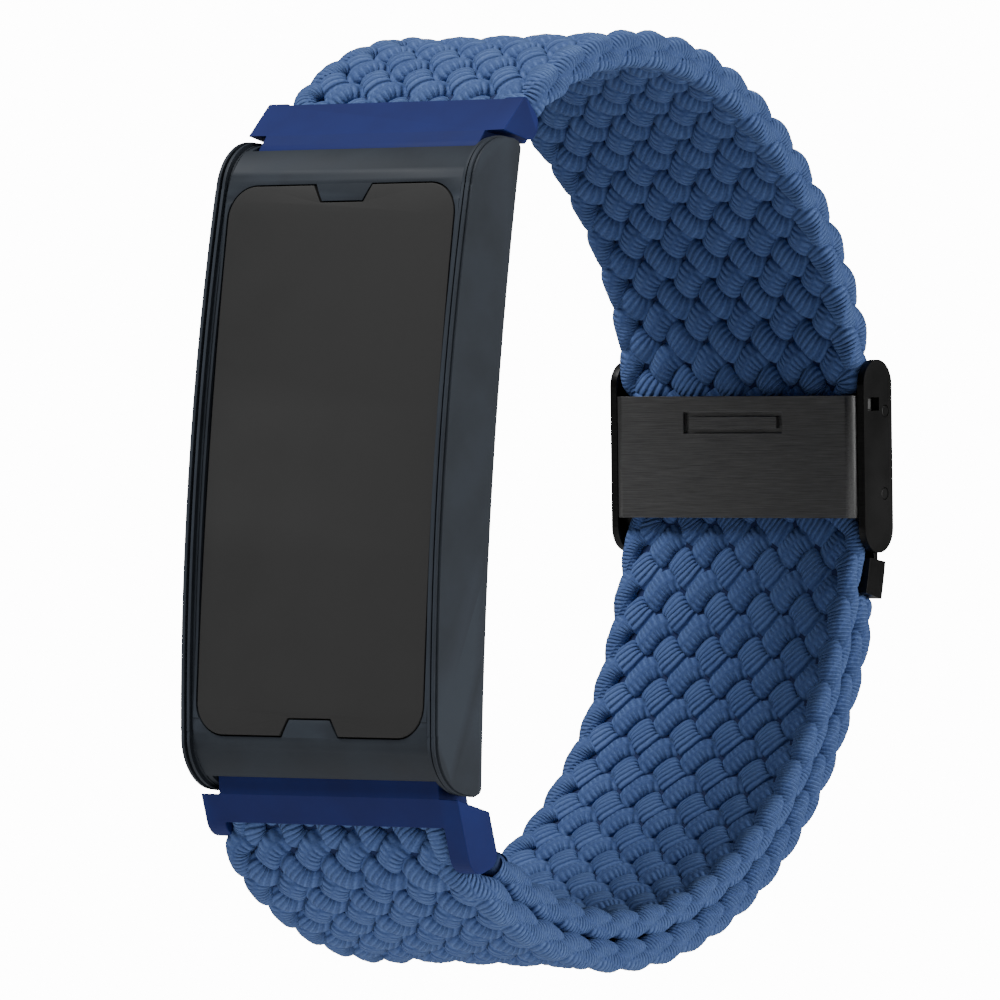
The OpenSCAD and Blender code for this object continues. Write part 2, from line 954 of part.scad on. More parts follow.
module buckle_base() {
  bend_r = 0.7;
  flange_v = 2.6;
  slot_u = 2.6;
  color("#262626")
    difference() {
      union() {
        along_x(-plate_w / 2 + bend_r, plate_w / 2 - bend_r)
          at_buckle()
            translate([0, -plate_h / 2])
              square([sheet_t, plate_h]);
        for (side = [0, 1])
          mirror([side, 0, 0]) {
            // Rounded bend from the plate to the flange
            along_plate()
              ring_sector([plate_w / 2 - bend_r, bend_r], bend_r - sheet_t, bend_r, -90, 0);
            along_x(plate_w / 2 - sheet_t, plate_w / 2)
              at_buckle() {
                translate([bend_r, -plate_h / 2])
                  square([flange_v - bend_r, plate_h]);
                translate([bend_r, lower_pin[1] - 0.9])
                  square([lower_pin[0] - bend_r, 1.8]);
                translate(lower_pin)
                  circle(0.9);
              }
            // Snap bump that shows through the cheek's window
            along_x(plate_w / 2 - eps, plate_w / 2 + cheek_gap - 0.02)
              at_buckle()
                translate([1.2, 3.5])
                  square([1.2, 0.85]);
          }
      }
      cross_hole(lower_pin, pin_bore_r);
      // Pry slot, with a bar standing in it
      difference() {
        slot_block(4.5, slot_u, 1.6, 0.35);
        slot_block(4, slot_u, 0.9, 1);
      }
    }
}

// Extrudes a drawing made in (X, v) up the whole inner plate
module along_plate() {
  translate([0, buckle_y, buckle_z])
    rotate([buckle_lean, 0, 0])
      translate([0, 0, -plate_h / 2])
        linear_extrude(plate_h)
          children();
}

// Block sunk into the plate's wrist face
module slot_block(half_w, u, h, depth) {
  along_x(-half_w, half_w)
    at_buckle()
      translate([-1, u - h / 2])
        square([1 + depth, h]);
}

module buckle_cover() {
  inner_x = plate_w / 2 + cheek_gap;
  half_straight = cheek_l / 2 - cheek_r;
  color("#1C1C1C")
    difference() {
      union() {
        for (side = [0, 1])
          mirror([side, 0, 0])
            along_x(inner_x, inner_x + cheek_t)
              at_buckle()
                translate([cheek_v, 0]) {
                  for (u = [-1, 1])
                    translate([0, u * half_straight])
                      circle(cheek_r);
                  square([2 * cheek_r, 2 * half_straight], center = true);
                }
        along_x(-inner_x - eps, inner_x + eps)
          at_buckle() {
            translate([cover_v, cover_low_u])
              square([0.45, half_straight - cover_low_u]);
            ring_sector([cheek_v, half_straight], cheek_r - 0.45, cheek_r, 0, 60);
          }
      }
      cross_hole(lower_pin, pin_press_r);
      cross_hole(upper_pin, pin_press_r);
      // Window over the snap bump
      along_x(-body_w, body_w)
        at_buckle()
          translate([1.05, 3.42])
            square([1.5, 1]);
    }
}

module hinge_pin() {
  color("#3A3A3A")
    cross_pin(lower_pin, plate_w / 2 + cheek_gap + cheek_t);
}

module clamp_pin() {
  color("#3A3A3A")
    cross_pin(upper_pin, plate_w / 2 + cheek_gap + cheek_t);
}

module clamp_bar() {
  bar_low_v = 2.74;
  bar_high_v = cover_v - 0.04;
  teeth = 3;
  tooth = 0.6;
  low_u = upper_pin[1] - teeth * tooth / 2;
  color("#2A2A2A")
    difference() {
      along_x(-strap_waist_w / 2, strap_waist_w / 2)
        at_buckle()
          polygon(concat(
            [for (i = [0:2 * teeth])
              [bar_low_v - (i % 2 == 1 ? 0.12 : 0), low_u + i * tooth / 2]],
            [[bar_high_v, low_u + teeth * tooth], [bar_high_v, low_u]]
          ));
      cross_hole(upper_pin, pin_press_r);
    }
}

case_shell();
display_cover();
display_seal();
display_panel();
main_board();
board_shield();
processor();
battery();
vibration_motor();
back_cover();
back_seal();
sensor_window();
sensor_board();
sensor_leds();
charging_contacts();
case_screws();
top_connector();
bottom_connector();
top_spring_bar();
bottom_spring_bar();
top_release_pin();
bottom_release_pin();
top_bar_spring();
bottom_bar_spring();
upper_strap();
lower_strap();
tail_tip();
end_clamp();
buckle_base();
buckle_cover();
hinge_pin();
clamp_pin();
clamp_bar();
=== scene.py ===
import json
import math

import bpy
import numpy as np
from mathutils import Matrix, Vector


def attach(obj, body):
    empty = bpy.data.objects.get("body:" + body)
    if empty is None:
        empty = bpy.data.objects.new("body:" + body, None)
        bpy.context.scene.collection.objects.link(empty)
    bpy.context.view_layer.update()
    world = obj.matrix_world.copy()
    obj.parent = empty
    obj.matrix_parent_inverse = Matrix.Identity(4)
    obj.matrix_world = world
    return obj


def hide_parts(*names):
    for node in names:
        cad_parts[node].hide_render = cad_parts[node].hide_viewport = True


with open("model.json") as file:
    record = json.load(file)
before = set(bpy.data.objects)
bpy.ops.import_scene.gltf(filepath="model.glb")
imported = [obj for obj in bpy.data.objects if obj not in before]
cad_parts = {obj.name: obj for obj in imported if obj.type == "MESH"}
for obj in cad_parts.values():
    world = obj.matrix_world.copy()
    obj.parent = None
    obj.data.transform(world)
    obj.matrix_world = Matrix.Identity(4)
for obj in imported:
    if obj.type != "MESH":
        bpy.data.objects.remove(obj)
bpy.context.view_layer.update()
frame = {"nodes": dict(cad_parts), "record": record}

MM = 0.001

# ---------------------------------------------------------------- materials


class Nodes:
    """A small helper for building a material's nodes."""

    def __init__(self, name):
        self.mat = bpy.data.materials.new(name)
        self.mat.use_nodes = True
        self.tree = self.mat.node_tree
        self.tree.nodes.clear()
        self.out = self.add("ShaderNodeOutputMaterial")
        self.bsdf = self.add("ShaderNodeBsdfPrincipled")
        self.link(self.bsdf.outputs[0], self.out.inputs[0])

    def add(self, kind, **props):
        node = self.tree.nodes.new(kind)
        for key, value in props.items():
            setattr(node, key, value)
        return node

    def link(self, a, b):
        self.tree.links.new(a, b)

    def put(self, socket, value):
        if hasattr(value, "node"):
            self.link(value, socket)
        else:
            socket.default_value = value

    def set(self, **values):
        for key, value in values.items():
            self.put(self.bsdf.inputs[key.replace("_", " ")], value)

    def coords(self, scale=(1, 1, 1), rotate=(0, 0, 0)):
        tex = self.add("ShaderNodeTexCoord")
        mapping = self.add("ShaderNodeMapping")
        self.link(tex.outputs["Object"], mapping.inputs["Vector"])
        mapping.inputs["Scale"].default_value = scale
        mapping.inputs["Rotation"].default_value = rotate
        return mapping.outputs[0]

    def noise(self, vector, scale, detail=3.0, rough=0.5):
        node = self.add("ShaderNodeTexNoise")
        self.link(vector, node.inputs["Vector"])
        node.inputs["Scale"].default_value = scale
        node.inputs["Detail"].default_value = detail
        node.inputs["Roughness"].default_value = rough
        return node.outputs["Fac"]

    def ramp(self, value, low, high, a=0.0, b=1.0):
        node = self.add("ShaderNodeMapRange")
        self.put(node.inputs["Value"], value)
        node.inputs["From Min"].default_value = low
        node.inputs["From Max"].default_value = high
        node.inputs["To Min"].default_value = a
        node.inputs["To Max"].default_value = b
        return node.outputs["Result"]

    def mix(self, factor, a, b):
        node = self.add("ShaderNodeMix", data_type="RGBA")
        self.put(node.inputs[0], factor)
        self.put(node.inputs[6], a)
        self.put(node.inputs[7], b)
        return node.outputs[2]

    def math(self, operation, a, b=0.5):
        node = self.add("ShaderNodeMath", operation=operation)
        self.put(node.inputs[0], a)
        self.put(node.inputs[1], b)
        return node.outputs[0]

    def bump(self, height, strength, distance, normal=None):
        node = self.add("ShaderNodeBump")
        self.link(height, node.inputs["Height"])
        node.inputs["Strength"].default_value = strength
        node.inputs["Distance"].default_value = distance
        if normal is not None:
            self.link(normal, node.inputs["Normal"])
        return node.outputs["Normal"]


def rgb(r, g, b):
    """Linear colour from sRGB values between 0 and 255."""
    def lin(c):
        c /= 255
        return c / 12.92 if c <= 0.04045 else ((c + 0.055) / 1.055) ** 2.4
    return (lin(r), lin(g), lin(b), 1)


def satin(name, base, light, metallic, rough, grain=9000, bump=0.06, coat=0.0, shine=0.5):
    """A smooth finish with a fine grain, slight mottling and a painted highlight that lightens the
    edges.
    """
    highlight_colour = tuple(min(1, 1.8 * c) for c in light[:3]) + (1,)
    n = Nodes(name)
    at = n.coords()
    mottle = n.noise(at, 260, 4)
    fine = n.noise(at, grain, 2)
    # Painted highlight: sharp edges found by pointiness are mixed up to 35% towards a colour
    # brighter than the light one
    edge = n.add("ShaderNodeNewGeometry").outputs["Pointiness"]
    painted_edge_highlight = n.ramp(edge, 0.52, 0.60)
    colour = n.mix(n.ramp(mottle, 0.35, 0.65), base, light)
    colour = n.mix(n.math("MULTIPLY", painted_edge_highlight, 0.35), colour, highlight_colour)
    n.set(Base_Color=colour, Metallic=metallic,
          Roughness=n.ramp(mottle, 0.3, 0.7, rough - 0.04, rough + 0.05),
          Normal=n.bump(fine, bump, 0.00002), Coat_Weight=coat, Coat_Roughness=0.2,
          Specular_IOR_Level=shine)
    return n.mat


def brushed(name, base, light, rough, along=(1, 60, 60), bump=0.15):
    """Metal brushed along X."""
    n = Nodes(name)
    lines = n.noise(n.coords(along), 420, 4, 0.65)
    mottle = n.noise(n.coords(), 180, 3)
    colour = n.mix(n.ramp(lines, 0.35, 0.65), base, light)
    n.set(Base_Color=colour, Metallic=0.85,
          Roughness=n.ramp(mottle, 0.3, 0.7, rough - 0.05, rough + 0.07),
          Normal=n.bump(lines, bump, 0.00003), Anisotropic=0.5)
    return n.mat


MATERIALS = {
    "case": satin("case_anodised", rgb(45, 50, 57), rgb(50, 56, 64), 0.12, 0.58, shine=0.22),
    "display": satin("display_matt", rgb(36, 36, 36), rgb(38, 38, 38), 0.0, 0.7, bump=0.02),
    "seal": satin("seal_rubber", rgb(14, 14, 14), rgb(18, 18, 18), 0.0, 0.7),
    "panel": satin("panel_gloss", rgb(12, 13, 16), rgb(16, 17, 22), 0.0, 0.12),
    "board": satin("board_mask", rgb(20, 80, 52), rgb(26, 96, 62), 0.0, 0.4),
    "shield": brushed("shield_tin", rgb(170, 172, 176), rgb(190, 192, 196), 0.35),
    "chip": satin("chip_black", rgb(22, 22, 24), rgb(30, 30, 32), 0.0, 0.5),
    "cell": satin("cell_foil", rgb(150, 154, 160), rgb(170, 174, 180), 0.8, 0.38),
    "back": satin("back_matt", rgb(30, 33, 38), rgb(36, 39, 45), 0.0, 0.5, 6000, 0.15),
    "lens": satin("lens_dark", rgb(10, 10, 12), rgb(13, 13, 15), 0.0, 0.06, coat=0.6),
    "led": satin("led_clear", rgb(110, 190, 120), rgb(140, 220, 150), 0.0, 0.1),
    "contact": satin("contact_gold", rgb(212, 170, 90), rgb(226, 188, 108), 1.0, 0.25),
    "steel": brushed("bright_steel", rgb(176, 177, 180), rgb(200, 201, 204), 0.3),
    "connector": satin("connector_navy", rgb(27, 38, 94), rgb(31, 43, 103), 0.0, 0.6, shine=0.15),
    "tip": satin("tip_melted", rgb(48, 68, 116), rgb(58, 80, 130), 0.0, 0.6, 1800, 0.4),
    "buckle": brushed("buckle_black", rgb(30, 30, 30), rgb(44, 44, 44), 0.34),
    "pin": brushed("pin_black", rgb(34, 34, 34), rgb(52, 52, 52), 0.3),
}


COLUMNS = 4


def braid_material():
    """Elastic cords covered with denim-blue yarn. U counts the yarn's ribs along a cord."""
    n = Nodes("braid_denim")
    uv = n.add("ShaderNodeUVMap", uv_map="cord").outputs[0]
    split = n.add("ShaderNodeSeparateXYZ")
    n.link(uv, split.inputs[0])
    along, around = split.outputs[0], split.outputs[1]
    rib = n.ramp(n.math("COSINE", n.math("MULTIPLY", along, 2 * math.pi), 0), -1, 1)
    # One side of each cord shows beads in two columns, the other plain ribs
    beaded = n.ramp(around, 0.48, 0.52, 1, 0)
    half = n.ramp(around, 0.249, 0.251, 0, 0.5)
    offset = n.math("MULTIPLY", n.math("ADD", along, half), 2 * math.pi)
    column = n.math("ABSOLUTE", n.math("SINE", n.math("MULTIPLY", around, COLUMNS * math.pi), 0), 0)
    bead = n.math("MULTIPLY", n.ramp(n.math("COSINE", offset, 0), -1, 1), n.ramp(column, 0.0, 0.7))
    relief = n.math("ADD", n.math("MULTIPLY", bead, beaded),
                    n.math("MULTIPLY", rib, n.math("SUBTRACT", 1.0, beaded)))
    at = n.coords()
    fibre = n.noise(at, 5200, 3, 0.6)
    patch = n.noise(at, 420, 2)
    colour = n.mix(n.ramp(patch, 0.3, 0.7), rgb(76, 101, 160), rgb(88, 114, 172))
    colour = n.mix(n.ramp(fibre, 0.35, 0.75, 0, 0.5), colour, rgb(120, 148, 200))
    # Painted shade: the hollows between the ribs and beads are darkened towards a deep blue
    painted_groove_shade = n.math("MULTIPLY", n.math("SUBTRACT", 1.0, relief), 0.38)
    colour = n.mix(painted_groove_shade, colour, rgb(22, 40, 86))
    height = n.math("ADD", relief, n.math("MULTIPLY", fibre, 0.4))
    n.set(Base_Color=colour, Roughness=0.82, Normal=n.bump(height, 0.9, 0.00016),
          Sheen_Weight=0.3, Sheen_Roughness=0.5, Sheen_Tint=rgb(130, 160, 205),
          Specular_IOR_Level=0.2)
    return n.mat


braid = braid_material()
NODE_MATERIALS = {
    # Painted light: the inner plate is a lighter copy of the buckle's black brushed metal, standing
    # in for the light it reflects
    "buckle_base": brushed("plate_brushed_painted_light", rgb(88, 88, 88), rgb(116, 116, 116), 0.42),
}

for row in frame["record"]["subparts"]:
    obj = frame["nodes"][row["node"]]
    slot_material = MATERIALS.get(row["material_slot"], braid)
    obj.data.materials.clear()
    obj.data.materials.append(NODE_MATERIALS.get(row["node"], slot_material))

# Rounded edges: each CAD mesh is welded and its flat areas merged before the bevel
EDGE_MM = {
    "case_shell": 0.22, "display_cover": 0.06, "top_connector": 0.1, "bottom_connector": 0.1,
    "end_clamp": 0.12, "buckle_base": 0.07, "buckle_cover": 0.08, "back_cover": 0.08,
    "sensor_window": 0.05, "tail_tip": 0.35, "hinge_pin": 0.08, "clamp_pin": 0.08,
    "main_board": 0.03, "battery": 0.2, "board_shield": 0.05, "processor": 0.05,
    "vibration_motor": 0.1, "clamp_bar": 0.05, "charging_contacts": 0.05, "case_screws": 0.03,
}
for name, width in EDGE_MM.items():
    obj = frame["nodes"][name]
    weld = obj.modifiers.new("weld", "WELD")
    weld.merge_threshold = 0.002 * MM
    flat = obj.modifiers.new("flat", "DECIMATE")
    flat.decimate_type = "DISSOLVE"
    flat.angle_limit = math.radians(0.6)
    bevel = obj.modifiers.new("bevel", "BEVEL")
    bevel.width = width * MM
    bevel.segments = 3
    bevel.limit_method = "ANGLE"
    bevel.angle_limit = math.radians(32)
    bevel.miter_outer = "MITER_ARC"
    bevel.use_clamp_overlap = name not in ("top_connector", "bottom_connector")

# ---------------------------------------------------------------- strap path


def arc_to(at, radius, turn, sweep):
    """The state (y, z, heading in degrees) at the end of an arc."""
    y, z, h = at
    cy = y - turn * radius * math.sin(math.radians(h))
    cz = z + turn * radius * math.cos(math.radians(h))
    h2 = h + turn * sweep
    return (cy + turn * radius * math.sin(math.radians(h2)),
            cz - turn * radius * math.cos(math.radians(h2)), h2)


class Path:
    """A run of arcs and straight lines in the YZ plane, in millimetres."""

    def __init__(self, start):
        self.segments = []
        self.at = start
        self.length = 0

    def arc(self, radius, sweep, turn=-1):
        size = radius * math.radians(sweep)
        self.segments.append((self.length, self.length + size, self.at, radius, turn))
        self.at = arc_to(self.at, radius, turn, sweep)
        self.length += size

    def line(self, size):
        self.segments.append((self.length, self.length + size, self.at, None, 0))
        y, z, h = self.at
        self.at = (y + size * math.cos(math.radians(h)), z + size * math.sin(math.radians(h)), h)
        self.length += size

    def points(self, s):
        """Positions (y, z) and unit tangents at the lengths s."""
        s = np.asarray(s, float)
        pos, tan = np.zeros((len(s), 2)), np.zeros((len(s), 2))
        last = len(self.segments) - 1
        for i, (a, b, (y, z, h), radius, turn) in enumerate(self.segments):
            inside = (s >= a if i else s > -1e9) & (s < b if i < last else s < 1e9)
            d = s[inside] - a
            h0 = math.radians(h)
            if radius is None:
                heading = np.full(len(d), h0)
                pos[inside, 0] = y + d * math.cos(h0)
                pos[inside, 1] = z + d * math.sin(h0)
            else:
                heading = h0 + turn * d / radius
                cy, cz = y - turn * radius * math.sin(h0), z + turn * radius * math.cos(h0)
                pos[inside, 0] = cy + turn * radius * np.sin(heading)
                pos[inside, 1] = cz - turn * radius * np.cos(heading)
            tan[inside, 0], tan[inside, 1] = np.cos(heading), np.sin(heading)
        return pos, tan


JOINTS = {j["name"]: j for j in frame["record"]["behaviour"]["joints"]}
STRAP_T, TAIL_T, LOWER_T = 2.6, 1.9, 2.1
LEAN = 7.3
# The cover's hinge lies at (3.19, -2.81) in the buckle's own axes: outwards and up
pin_y, pin_z = (c / MM for c in JOINTS["cover_hinge"]["pos_m"][1:])
cl, sl = math.cos(math.radians(LEAN)), math.sin(math.radians(LEAN))
buckle_y = pin_y - 3.19 * cl - 2.81 * sl
buckle_z = pin_z - 3.19 * sl + 2.81 * cl


def buckle_point(v, u):
    return (buckle_y + v * cl - u * sl, buckle_z + v * sl + u * cl)


BAND_V = 0.6 + 0.08 + TAIL_T / 2
UPPER_ARCS = [(16, 23), (31.5, 39), (27, 38.5), (19.5, 29.8)]
LOWER_ARCS = [(35, 40.55), (32.5, 44.5), (30, 33.5), (8, 34.5)]
TAIL_INSET = LOWER_T + 0.2 + TAIL_T / 2
TAIL_LAST_SWEEP = 28

# Upper strap and tail: from the top connector over to the buckle and down inside
at = buckle_point(BAND_V, 5.2) + (90 + LEAN,)
for radius, sweep in UPPER_ARCS:
    at = arc_to(at, radius, 1, sweep)
upper = Path((at[0], at[1], at[2] - 180))
for radius, sweep in reversed(UPPER_ARCS):
    upper.arc(radius, sweep)
into_buckle = upper.length
upper.line(10.2)
out_of_buckle = upper.length
lower_start = (28.533, -1.7595, -92.45)
lower_r = LOWER_ARCS[0][0]
loop_y = lower_start[0] + lower_r * math.sin(math.radians(lower_start[2]))
loop_z = lower_start[1] - lower_r * math.cos(math.radians(lower_start[2]))
tail_r = lower_r - TAIL_INSET
bend_r = 6
h = math.radians(upper.at[2])
bend_y = upper.at[0] + bend_r * math.sin(h)
bend_z = upper.at[1] - bend_r * math.cos(h)
apart = (bend_y - loop_y, bend_z - loop_z)
gap = math.hypot(*apart)
tail_heading = (math.degrees(math.atan2(apart[1], apart[0])) - 90
                - math.degrees(math.acos((tail_r - bend_r) / gap)))
upper.arc(bend_r, upper.at[2] - tail_heading)
upper.line(math.sqrt(gap ** 2 - (tail_r - bend_r) ** 2))
upper.arc(tail_r, tail_heading - (lower_start[2] - LOWER_ARCS[0][1]))
upper.arc(LOWER_ARCS[1][0] - TAIL_INSET, LOWER_ARCS[1][1])
upper.arc(LOWER_ARCS[2][0] - TAIL_INSET, TAIL_LAST_SWEEP)

# Lower strap: from the end clamp down and round to the bottom connector
h = math.radians(lower_start[2])
half = LOWER_T / 2
lower = Path((lower_start[0] + half * math.sin(h), lower_start[1] - half * math.cos(h),
              lower_start[2]))
for radius, sweep in LOWER_ARCS:
    lower.arc(radius - half, sweep)
into_connector = lower.length
# Straight inside the connector's pocket
lower.line(3.2)

# ---------------------------------------------------------------- braid

CORDS = 13
# Length along the strap from one crossing to the next
STEP_Q = 1.75
# The zigzag's peaks are rounded over this many crossings
TURN_R = 2.0
# Half width and half height of a cord on the faces, at the full thickness
CORD_W = 1.04
CORD_H = 0.72
# Radius of a cord where it wraps an edge
EDGE_R = 0.88
# Half width of the braid
HALF_W = 10.85
# How strongly the floats bend into an S, 0 for straight ones
S_BEND = 0.5
# Depth of the yarn's ribs, and how far their V shape runs along the cord
RIPPLE = 0.018
KNIT = 0.13


def smooth(x, a, b):
    t = np.clip((x - a) / (b - a), 0, 1)
    return t * t * (3 - 2 * t)


def no_shift(s):
    return 0 * s


def make_braid(name, path, start, end, width, thick, shift=no_shift, around=16, per_step=14):
    """A flat braid of CORDS cords, each over one and under one, along part of the path.
    width and thick give the half width and the thickness at a length, shift its place across."""
    steps = (end - start) / STEP_Q
    n = max(2, int(steps * per_step))
    verts, faces, uvs = [], [], []
    base = 0
    for cord in range(CORDS):
        t = np.linspace(0, steps, n)
        s = start + t * STEP_Q
        u = np.mod(t + start / STEP_Q + 2 * cord, 2 * CORDS)
        back = u >= CORDS
        # Steep where the cord floats, with its steps sideways while it dives
        bent = u - S_BEND * np.sin(2 * math.pi * u) / (2 * math.pi)
        # Across: a zigzag with its peaks rounded off, from -1 to 1
        v = np.where(back, 2 * CORDS - bent, bent)
        for peak in (0, CORDS):
            d = np.abs(v - peak)
            near = d < TURN_R
            rounded = d ** 3 / (3 * TURN_R ** 2) + TURN_R * 2 / 3
            v = np.where(near, np.abs(peak - rounded), v)
        x = v * 2 / CORDS - 1
        # Out: over at one crossing and under at the next. The floats beside an edge last longer.
        w = np.where(u > CORDS, u - 2 * CORDS, u)
        from_edge = np.minimum(np.abs(u - CORDS), np.abs(w))
        past = np.clip(from_edge - 1, 0, 1)
        held = past - past ** 1.6
        held *= np.where(np.abs(u - CORDS) < np.abs(w), np.sign(u - CORDS), np.sign(w))
        out = np.where(back, np.cos(math.pi * (u - held)), -np.cos(math.pi * (u - held)))
        sign = -(-1.0) ** (CORDS - 1)
        right = np.abs(u - CORDS) < 1
        out = np.where(right, sign * np.cos(math.pi / 2 * (u - CORDS + 1)), out)
        left = np.abs(w) < 1
        out = np.where(left, np.sin(math.pi / 2 * w), out)
        # The flat side turns outwards round each edge
        flip = np.where(right, math.pi / 2 * (u - CORDS + 1), np.where(back, math.pi, 0))
        flip = np.where(left, math.pi * 1.5 + math.pi / 2 * w, flip)
        # The cord stays high for longer than a plain wave, less so round the edges
        turning = smooth(from_edge, 1.7, 0.6)
        sharp = 2.0 - 0.9 * np.clip(1 - from_edge, 0, 1)
        lift = np.tanh(sharp * out) / np.tanh(sharp)
        half_w = width(s)
        th = thick(s)
        reach = (half_w - EDGE_R) / (1 - 4 * TURN_R / 3 / CORDS)
        pos, tan = path.points(s)
        nrm = np.stack([-tan[:, 1], tan[:, 0]], 1)
        rise = lift * (th / 2 - CORD_H * th / 2.6) * (1 - 0.2 * turning)
        centre = np.zeros((n, 3))
        centre[:, 0] = x * reach + shift(s)
        centre[:, 1:] = pos + nrm * rise[:, None]
        # The ribs follow the cord's run smoothed over one crossing
        window = np.hanning(per_step + 2)
        padded = np.pad(np.gradient(centre, axis=0), ((per_step, per_step), (0, 0)), "edge")
        tangent = np.stack([np.convolve(padded[:, c], window, "same")[per_step:-per_step]
                            for c in range(3)], 1)
        tangent /= np.linalg.norm(tangent, axis=1)[:, None]
        flat = np.zeros((n, 3))
        flat[:, 0] = np.sin(flip)
        flat[:, 1:] = nrm * np.cos(flip)[:, None]
        side = np.cross(tangent, flat)
        side /= np.linalg.norm(side, axis=1)[:, None]
        flat = np.cross(side, tangent)
        swell = 0.5 + 0.5 * np.cos(2 * math.pi * (t + start / STEP_Q))
        ripple = np.where(np.arange(n) % 2 == 0, RIPPLE, -RIPPLE)
        # Oval on the faces and almost round where the cord wraps an edge
        wide = CORD_W * (1.08 - 0.08 * swell) * half_w / HALF_W
        wide += (0.43 * th - wide) * turning
        high = CORD_H * th / 2.6 * (0.92 + 0.08 * swell)
        high += (EDGE_R * np.minimum(1, th / TAIL_T) - high) * turning
        ang = np.linspace(0, 2 * math.pi, around, endpoint=False)
        ca, sa = np.cos(ang), np.sin(ang)
        # Plain ribs are drawn as shallow V shapes; the beaded side is smooth
        ribbed = np.clip(-np.sin(ang), 0, 1)
        vee = np.where(ang > math.pi, 1 - np.abs(ang / math.pi - 1.5) * 2, 0)
        # Slightly squared section
        ca, sa = np.sign(ca) * np.abs(ca) ** 0.9, np.sign(sa) * np.abs(sa) ** 0.9
        ribs = ripple[:, None] * (0.3 + 0.7 * ribbed)[None, :]
        ring = (centre[:, None] + side[:, None] * ((wide[:, None] + ribs) * ca)[:, :, None]
                + flat[:, None] * ((high[:, None] + ribs) * sa)[:, :, None]
                + tangent[:, None] * (KNIT * vee)[None, :, None])
        verts.append(ring.reshape(-1, 3) * MM)
        i, k = np.meshgrid(np.arange(n - 1), np.arange(around), indexing="ij")
        k2 = (k + 1) % around
        quad = np.stack([i * around + k, i * around + k2,
                         (i + 1) * around + k2, (i + 1) * around + k], -1)
        faces.append(quad.reshape(-1, 4) + base)
        ku = np.stack([k, k + 1, k + 1, k], -1) / around
        iu = np.stack([i, i, i + 1, i + 1], -1) / 2
        uvs.append(np.stack([iu, ku], -1).reshape(-1, 2))
        base += n * around
    verts, faces, uvs = np.concatenate(verts), np.concatenate(faces), np.concatenate(uvs)
    mesh = bpy.data.meshes.new(name)
    mesh.vertices.add(len(verts))
    mesh.vertices.foreach_set("co", verts.ravel())
    mesh.loops.add(faces.size)
    mesh.loops.foreach_set("vertex_index", faces.ravel())
    mesh.polygons.add(len(faces))
    mesh.polygons.foreach_set("loop_start", np.arange(0, faces.size, 4))
    mesh.polygons.foreach_set("use_smooth", np.ones(len(faces), bool))
    layer = mesh.uv_layers.new(name="cord")
    layer.data.foreach_set("uv", uvs.ravel())
    mesh.update(calc_edges=True)
    mesh.validate()
    mesh.materials.append(braid)
    obj = bpy.data.objects.new(name, mesh)
    bpy.context.collection.objects.link(obj)
    return obj


# How far the connectors' walls hold the braid in on each side
POCKET = 0.115 * HALF_W
# How far the buckle's flanges and the end clamp's sides hold it in
FLANGE_SQUEEZE, CLAMP_SQUEEZE = 0.78, 0.9
# How much thinner it is behind the tongue and in the end clamp
TONGUE_THIN, CLAMP_THIN = 0.3, 0.85


def hump(s, a, b, c, d):
    """Rises from 0 to 1 between the lengths a and b, and falls back between c and d."""
    return smooth(s, a, b) * (1 - smooth(s, c, d))


def upper_width(s):
    grip = hump(s, into_buckle - 7, into_buckle - 1, out_of_buckle + 1, out_of_buckle + 7)
    # Squeezed between the flanges of the buckle's inner plate
    inside = hump(s, into_buckle - 0.6, into_buckle + 0.8, out_of_buckle - 0.6, out_of_buckle + 0.8)
    pocket = 1 - smooth(s, -0.6, 1.6)
    return HALF_W * (1 + 0.012 * grip) - FLANGE_SQUEEZE * inside - POCKET * pocket


def upper_thick(s):
    thin = smooth(s, into_buckle - 4, into_buckle)
    pocket = 1 - smooth(s, 0, 3)
    # A little thinner again behind the end clamp's tongue
    tongue = hump(s, out_of_buckle - 1, out_of_buckle, out_of_buckle + 4.5, out_of_buckle + 6)
    return STRAP_T - (STRAP_T - TAIL_T) * np.maximum(thin, 0.7 * pocket) - TONGUE_THIN * tongue


def right_pocket(s):
    """How far the bottom connector's long cheek holds the braid in on the right."""
    return POCKET * smooth(s, into_connector - 5.5, into_connector - 2.2)


def left_pocket(s):
    return POCKET * smooth(s, into_connector - 1.2, into_connector + 0.9)


def clamped(s):
    """Where the end clamp holds the lower strap."""
    return 1 - smooth(s, 2.5, 3.6)


def lower_width(s):
    grip = 1 - smooth(s, 2, 7)
    pockets = (right_pocket(s) + left_pocket(s)) / 2
    return HALF_W * (1 - 0.03 * grip) - CLAMP_SQUEEZE * clamped(s) - pockets


def lower_shift(s):
    return (left_pocket(s) - right_pocket(s)) / 2


def lower_thick(s):
    return LOWER_T - CLAMP_THIN * clamped(s)


